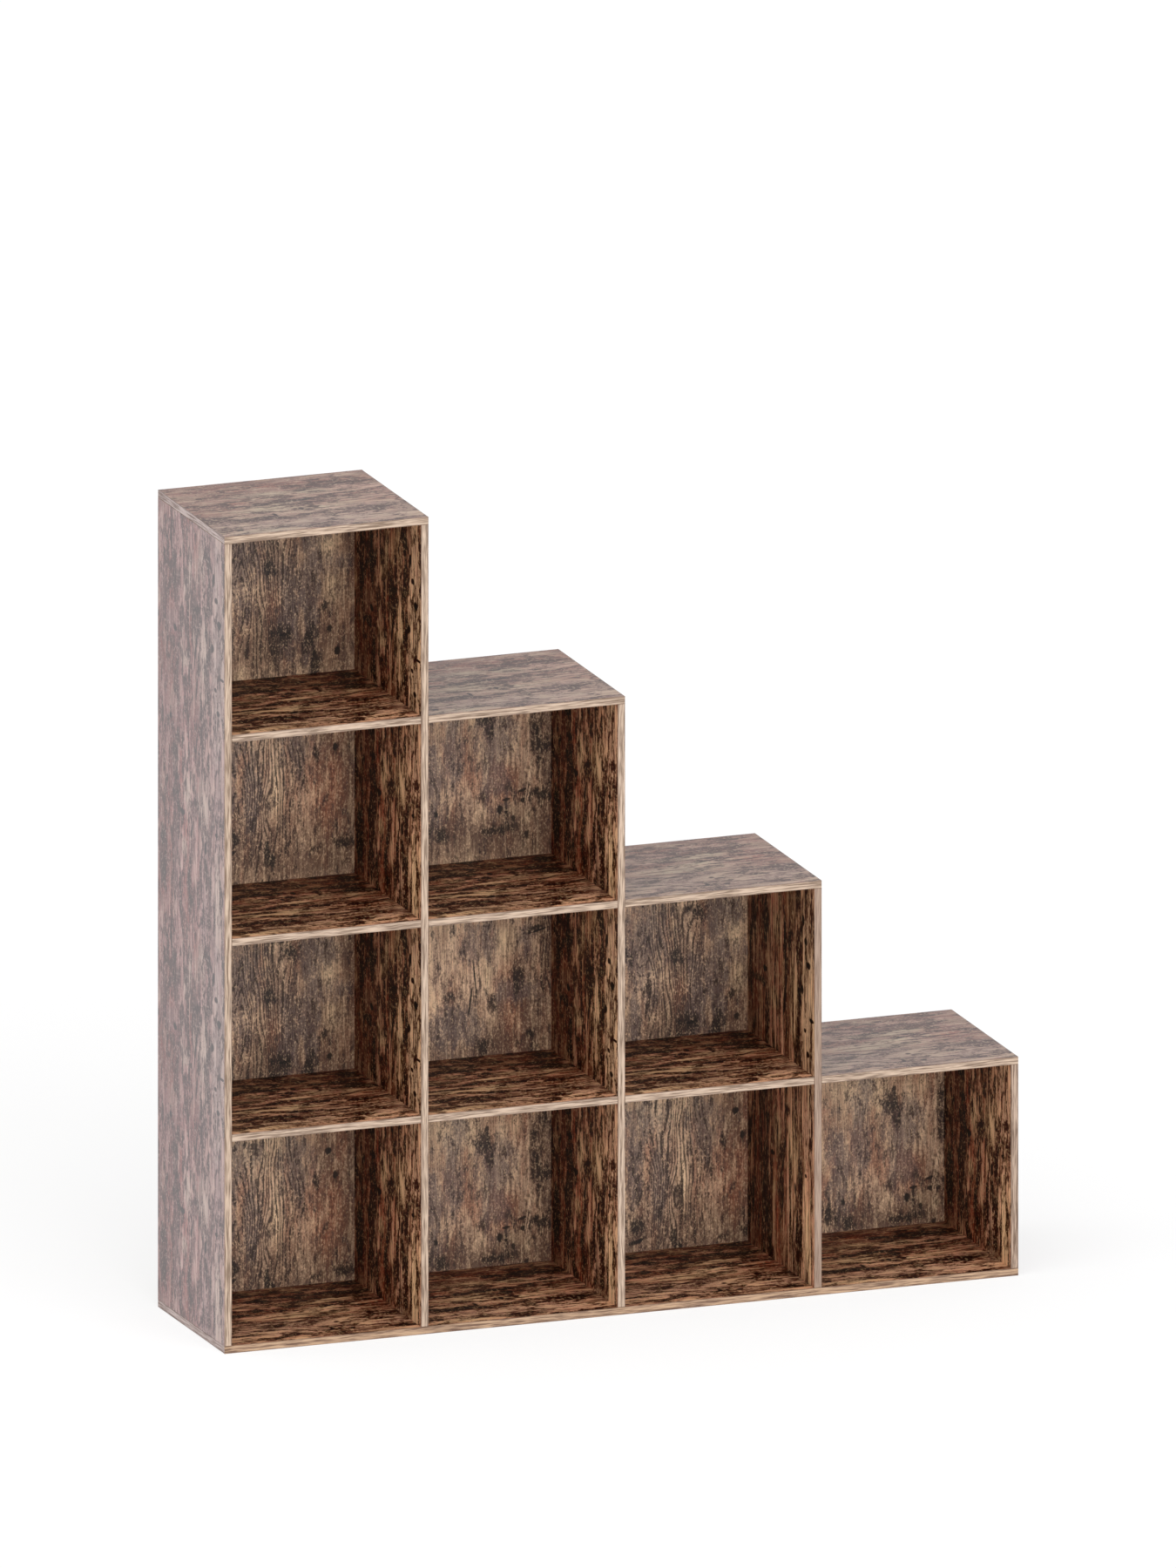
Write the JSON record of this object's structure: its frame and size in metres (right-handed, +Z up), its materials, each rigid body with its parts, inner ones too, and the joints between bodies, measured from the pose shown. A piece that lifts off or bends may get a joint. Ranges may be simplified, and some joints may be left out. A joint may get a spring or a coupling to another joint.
{
  "type": "staircase bookshelf",
  "caption": "Stepped open bookcase of thin wood-print boards, with square cubbies in columns that fall like stairs from left to right and a closed back.",
  "frame": {"origin": "on the floor, at the middle of the overall width and depth", "axes": "+X to the right as seen from the front, +Y to the rear, +Z up; the tall column is at -X and the open fronts face -Y"},
  "size_m": [1.29, 0.2926, 1.29],
  "materials": {
    "wood_print_laminate": "printed wood-grain foil on particleboard, satin",
    "printed_hardboard": "printed wood-grain foil on thin hardboard, matt",
    "zinc_alloy": "die-cast zinc, dull",
    "plated_steel": "zinc-plated steel, satin"
  },
  "bodies": {
    "root": {"back_panel_column_1": "printed_hardboard", "back_panel_column_2": "printed_hardboard", "back_panel_column_3": "printed_hardboard", "back_panel_column_4": "printed_hardboard", "base_board": "wood_print_laminate", "base_screw_left_side": "plated_steel", "base_screw_right_side": "plated_steel", "base_screw_upright_1": "plated_steel", "base_screw_upright_2": "plated_steel", "base_screw_upright_3": "plated_steel", "cam_bolt_left_side_level_1": "plated_steel", "cam_bolt_left_side_level_2": "plated_steel", "cam_bolt_left_side_level_3": "plated_steel", "cam_bolt_left_side_top": "plated_steel", "cam_bolt_right_side_top": "plated_steel", "cam_bolt_upright_1_top": "plated_steel", "cam_bolt_upright_2_top": "plated_steel", "cam_bolt_upright_3_top": "plated_steel", "cam_left_side_top": "zinc_alloy", "cam_right_side_top": "zinc_alloy", "cam_shelf_column_1_level_1_left": "zinc_alloy", "cam_shelf_column_1_level_1_right": "zinc_alloy", "cam_shelf_column_1_level_2_left": "zinc_alloy", "cam_shelf_column_1_level_2_right": "zinc_alloy", "cam_shelf_column_1_level_3_left": "zinc_alloy", "cam_shelf_column_1_level_3_right": "zinc_alloy", "cam_shelf_column_2_level_1_left": "zinc_alloy", "cam_shelf_column_2_level_1_right": "zinc_alloy", "cam_shelf_column_2_level_2_left": "zinc_alloy", "cam_shelf_column_2_level_2_right": "zinc_alloy", "cam_shelf_column_3_level_1_left": "zinc_alloy", "cam_shelf_column_3_level_1_right": "zinc_alloy", "cam_top_board_column_2_left": "zinc_alloy", "cam_top_board_column_3_left": "zinc_alloy", "cam_top_board_column_4_left": "zinc_alloy", "cam_upright_1_top": "zinc_alloy", "cam_upright_2_top": "zinc_alloy", "cam_upright_3_top": "zinc_alloy", "left_side_board": "wood_print_laminate", "right_side_board": "wood_print_laminate", "shelf_column_1_level_1": "wood_print_laminate", "shelf_column_1_level_2": "wood_print_laminate", "shelf_column_1_level_3": "wood_print_laminate", "shelf_column_2_level_1": "wood_print_laminate", "shelf_column_2_level_2": "wood_print_laminate", "shelf_column_3_level_1": "wood_print_laminate", "top_board_column_1": "wood_print_laminate", "top_board_column_2": "wood_print_laminate", "top_board_column_3": "wood_print_laminate", "top_board_column_4": "wood_print_laminate", "twin_bolt_upright_1_level_1": "plated_steel", "twin_bolt_upright_1_level_2": "plated_steel", "twin_bolt_upright_1_level_3": "plated_steel", "twin_bolt_upright_2_level_1": "plated_steel", "twin_bolt_upright_2_level_2": "plated_steel", "twin_bolt_upright_3_level_1": "plated_steel", "upright_1": "wood_print_laminate", "upright_2": "wood_print_laminate", "upright_3": "wood_print_laminate"}
  },
  "joints": []
}
